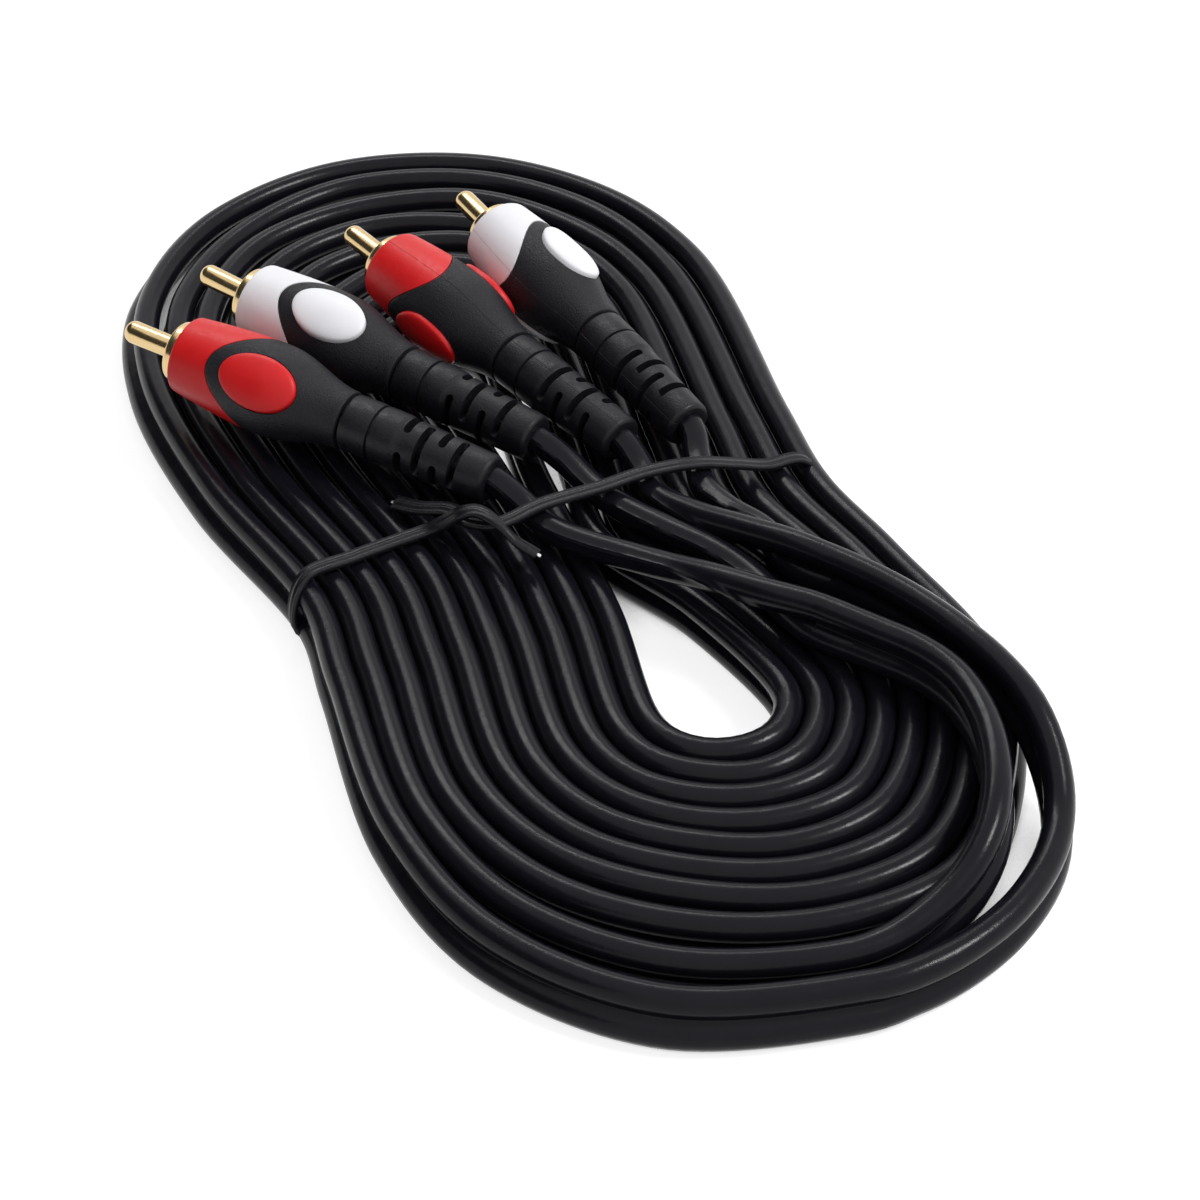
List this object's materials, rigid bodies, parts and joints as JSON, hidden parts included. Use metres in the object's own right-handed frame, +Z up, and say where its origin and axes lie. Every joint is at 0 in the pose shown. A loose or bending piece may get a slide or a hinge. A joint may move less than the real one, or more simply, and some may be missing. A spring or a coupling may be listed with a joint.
{
  "type": "audio video cable",
  "caption": "Black twin lead wound into a flat tied bundle with two lobes; its cores part at each end into moulded phono plugs with red and white sleeves.",
  "frame": {"origin": "middle of the bundle's outline, on the surface that it lies on", "axes": "+Z up, +Y along the bundle towards the lobe that the plugs lie on, +X across it"},
  "size_m": [0.0889, 0.1898, 0.023],
  "materials": {
    "cable_jacket": "semi-gloss black PVC",
    "tie_plastic": "glossy black plastic ribbon",
    "tie_steel": "bare steel wire",
    "contact_gold": "bright pale gold plating",
    "insulator_plastic": "natural white plastic",
    "red_plastic": "satin red moulding",
    "white_plastic": "satin white moulding",
    "grip_plastic": "fine-textured matte black moulding",
    "relief_plastic": "soft satin black moulding",
    "wire_plastic": "natural insulation"
  },
  "bodies": {
    "root": {"coil": "cable_jacket", "lead_end_a": "cable_jacket", "lead_end_b": "cable_jacket", "tie_strip": "tie_plastic", "tie_wire": "tie_steel", "tail_1": "cable_jacket", "plug_1_centre_pin": "contact_gold", "plug_1_insulator": "insulator_plastic", "plug_1_ground_shell": "contact_gold", "plug_1_colour_body": "red_plastic", "plug_1_grip": "grip_plastic", "plug_1_strain_relief": "relief_plastic", "plug_1_signal_wire": "wire_plastic", "tail_2": "cable_jacket", "plug_2_centre_pin": "contact_gold", "plug_2_insulator": "insulator_plastic", "plug_2_ground_shell": "contact_gold", "plug_2_colour_body": "white_plastic", "plug_2_grip": "grip_plastic", "plug_2_strain_relief": "relief_plastic", "plug_2_signal_wire": "wire_plastic", "tail_3": "cable_jacket", "plug_3_centre_pin": "contact_gold", "plug_3_insulator": "insulator_plastic", "plug_3_ground_shell": "contact_gold", "plug_3_colour_body": "red_plastic", "plug_3_grip": "grip_plastic", "plug_3_strain_relief": "relief_plastic", "plug_3_signal_wire": "wire_plastic", "tail_4": "cable_jacket", "plug_4_centre_pin": "contact_gold", "plug_4_insulator": "insulator_plastic", "plug_4_ground_shell": "contact_gold", "plug_4_colour_body": "white_plastic", "plug_4_grip": "grip_plastic", "plug_4_strain_relief": "relief_plastic", "plug_4_signal_wire": "wire_plastic"}
  },
  "joints": []
}
